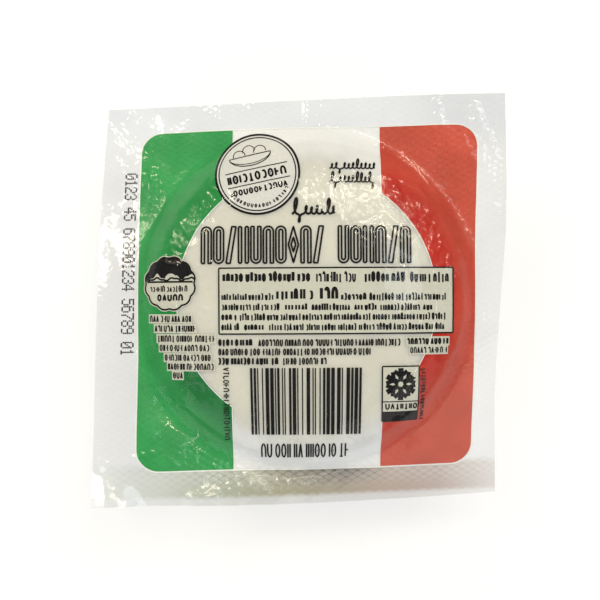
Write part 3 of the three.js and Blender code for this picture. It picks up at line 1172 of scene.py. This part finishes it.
def date_ink_material():
    return plain_ink("date_ink", (0.025, 0.022, 0.03), (0.08, 0.07, 0.09))


def floor_material():
    """A pale table that glows a little, so that the clear film doesn't stand in shade."""
    nodes = Nodes("pale_floor")
    colour = nodes.mottle(grey(0.5), grey(0.52), 60, 2)
    return nodes.solid(colour, 0.8, {"Emission Color": (1, 1, 1, 1), "Emission Strength": 0.5})


# ---- stage, light and camera


FLOOR_HALF = 2500
FLOOR_HEIGHT = -0.05


def make_floor():
    signs = ((-1, -1), (1, -1), (1, 1), (-1, 1))
    points = [(x * FLOOR_HALF, y * FLOOR_HALF, FLOOR_HEIGHT) for x, y in signs]
    floor = make_object("floor", points, [(0, 1, 2, 3)], floor_material())


BOX_DISTANCE = 700
WARM = (1, 0.9, 0.7)

# Soft boxes round the pack: direction on plan and angle from overhead in degrees, size in
# millimetres, radiance and colour.
SOFT_BOXES = (
    ("warm_corner", 147, 62, 120, 18, (1, 0.9, 0.66)),
    ("warm_left", 145, 43, 130, 17.5, (1, 0.9, 0.68)),
    ("white_top", 75, 29, 125, 16, (1, 0.96, 0.84)),
    ("warm_high", 55, 43, 95, 17, WARM),
    ("warm_small", 56, 29, 60, 24, WARM),
    ("warm_right", 38, 38, 125, 16.5, WARM),
    ("cool_right", 12, 24, 170, 4, (0.8, 0.88, 1)),
    ("low_left", 235, 60, 500, 1.2, (0.93, 0.96, 1)),
    ("low_right", 310, 60, 500, 1.2, (1, 0.95, 0.9)),
)


def add_soft_box(name, direction, angle, size, radiance, colour):
    data = bpy.data.lights.new(name, "AREA")
    data.size, data.color = size * MM, colour
    data.energy = radiance * math.pi * data.size**2
    light = bpy.data.objects.new(name, data)
    turn = Euler((0, math.radians(angle), math.radians(direction)))
    outwards = Vector((0, 0, BOX_DISTANCE * MM))
    outwards.rotate(turn)
    light.location = outwards + Vector((0, 0, SEAL_HEIGHT * MM))
    light.rotation_euler = outwards.to_track_quat("Z", "Y").to_euler()
    bpy.context.scene.collection.objects.link(light)


SKY_COLOUR = (0.97, 0.985, 1, 1)
SKY_STRENGTH = 0.375


def light_scene():
    world = bpy.data.worlds.new("studio")
    world.use_nodes = True
    sky = world.node_tree.nodes["Background"].inputs
    sky["Color"].default_value, sky["Strength"].default_value = SKY_COLOUR, SKY_STRENGTH
    bpy.context.scene.world = world
    for soft_box in SOFT_BOXES:
        add_soft_box(*soft_box)
    bpy.context.scene.view_settings.view_transform = "Standard"


def make_camera():
    data = bpy.data.cameras.new("camera")
    data.sensor_width = SENSOR_WIDTH
    data.lens = SENSOR_WIDTH * CAMERA_DISTANCE / PICTURE_WIDTH
    camera = bpy.data.objects.new("camera", data)
    camera.location = (CAMERA_X * MM, CAMERA_Y * MM, (SEAL_HEIGHT + CAMERA_DISTANCE) * MM)
    bpy.context.scene.collection.objects.link(camera)
    bpy.context.scene.camera = camera


# ---- the pack


def finish_piece(piece):
    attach(piece, "root")
    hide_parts(NODE)


# Every ink: its piece, its depth under the film, its material and its slot.
INKS = (
    ("print_white", WHITE_DEPTH, white_ink_material, "white_ink"),
    ("print_green", COLOUR_DEPTH, green_ink_material, "green_ink"),
    ("print_red", COLOUR_DEPTH, red_ink_material, "red_ink"),
    ("print_light", LIGHT_DEPTH, light_ink_material, "white_ink"),
    ("print_rim", LIGHT_DEPTH, rim_ink_material, "white_ink"),
    ("print_badge", LIGHT_DEPTH, badge_ink_material, "white_ink"),
    ("print_black", BLACK_DEPTH, black_ink_material, "black_ink"),
    ("print_date", BLACK_DEPTH, date_ink_material, "date_ink"),
)


def print_pieces():
    """Every ink as one draped piece, with its material slot."""
    sheets = [Print(name, depth, material()) for name, depth, material, _ in INKS]
    white, green, red, light, rim, seal, black, date = sheets
    white_ground(white)
    colour_field(green, -1)
    colour_field(red, 1)
    field_rims(rim)
    badge(black, seal)
    for draw in (rosette, fact_box, text_rows):
        draw(black, light)
    for draw in (title_band, striped_code, upright_rows):
        draw(black)
    cold_icon(black, light)
    script_lines(black)
    stamped_digits(date)
    return [(sheet.drape(), ink[-1]) for sheet, ink in zip(sheets, INKS)]


def build():
    front = make_film("film_front", FRONT_CELLS, front_height, True, front_film_material())
    back = make_film("film_back", BACK_CELLS, back_height, False, back_film_material())
    cheese = make_cheese(cheese_material())
    pieces = [(front, "clear_film"), (back, "clear_film"), (cheese, "cheese"), *print_pieces()]
    for piece, slot in pieces:
        finish_piece(piece)


def corners(box):
    return [list(corner) for corner in box]


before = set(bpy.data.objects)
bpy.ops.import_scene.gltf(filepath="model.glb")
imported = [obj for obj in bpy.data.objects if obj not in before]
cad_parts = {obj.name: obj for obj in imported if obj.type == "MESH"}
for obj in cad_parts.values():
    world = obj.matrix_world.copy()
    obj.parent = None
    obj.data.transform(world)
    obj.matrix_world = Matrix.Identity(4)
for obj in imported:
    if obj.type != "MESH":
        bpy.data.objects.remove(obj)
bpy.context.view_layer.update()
make_camera()
build()
make_floor()
light_scene()
